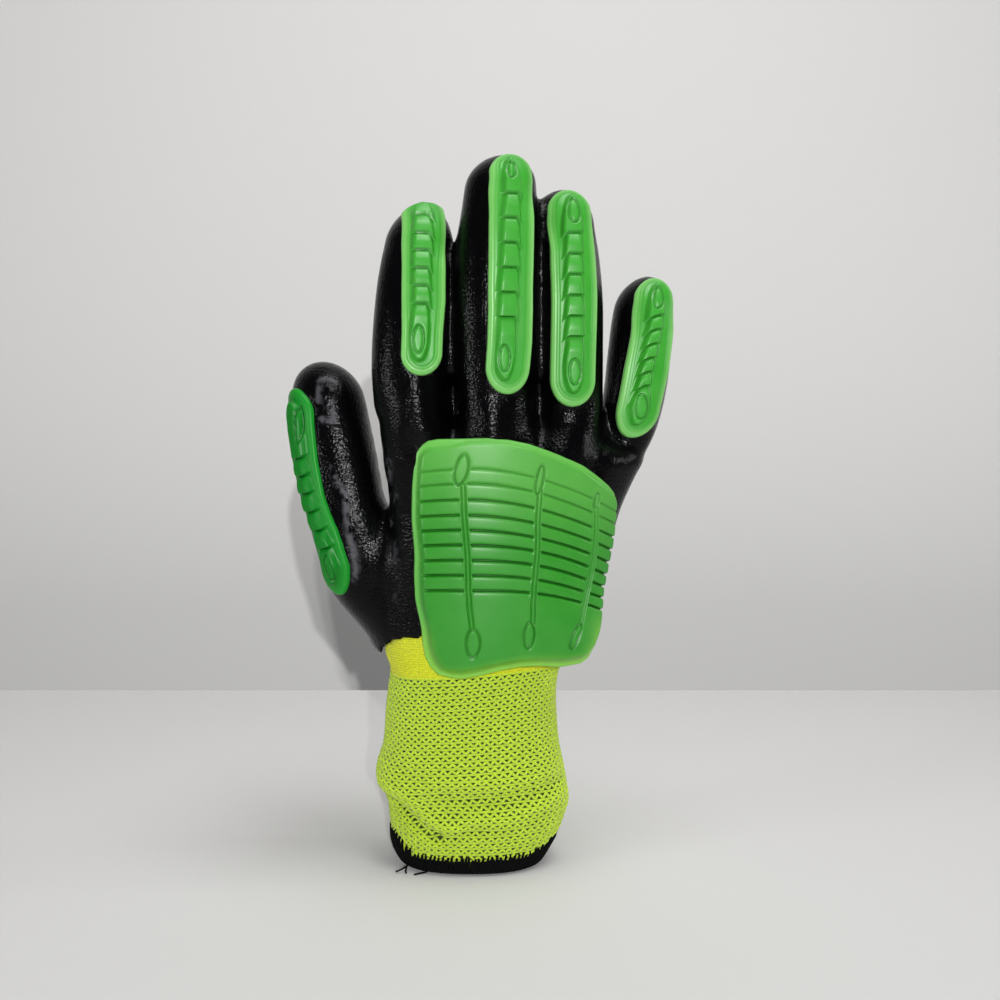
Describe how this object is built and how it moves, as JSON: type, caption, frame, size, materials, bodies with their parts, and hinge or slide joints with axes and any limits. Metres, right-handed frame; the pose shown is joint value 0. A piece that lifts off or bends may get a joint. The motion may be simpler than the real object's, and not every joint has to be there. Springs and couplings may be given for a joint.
{
  "type": "impact resistant work glove",
  "caption": "Right-hand dipped work glove with a hollow coated hand and digits, open knitted cuff with overlocked hem, and raised moulded rubber guards on the back.",
  "frame": {"origin": "centre of the cuff's mouth, in the plane of the hem's lowest edge", "axes": "+Z from the cuff to the fingertips, the back of the hand faces -Y, thumb at -X"},
  "size_m": [0.134, 0.0527, 0.2423],
  "materials": {
    "nitrile_coat": "glossy black nitrile dip over a knitted liner, grainy",
    "lime_knit": "lime and yellow polyester knit",
    "hem_thread": "black overlock thread, matt",
    "guard_rubber": "moulded green thermoplastic rubber, satin, slightly translucent",
    "thumb_guard_rubber": "moulded darker green thermoplastic rubber, satin"
  },
  "bodies": {
    "root": {"palm_shell": "nitrile_coat", "index_finger": "nitrile_coat", "middle_finger": "nitrile_coat", "ring_finger": "nitrile_coat", "little_finger": "nitrile_coat", "thumb": "nitrile_coat", "knit_cuff": "lime_knit", "hem_binding": "hem_thread", "back_guard": "guard_rubber", "index_guard": "guard_rubber", "middle_guard": "guard_rubber", "ring_guard": "guard_rubber", "little_guard": "guard_rubber", "thumb_guard": "thumb_guard_rubber"}
  },
  "joints": []
}
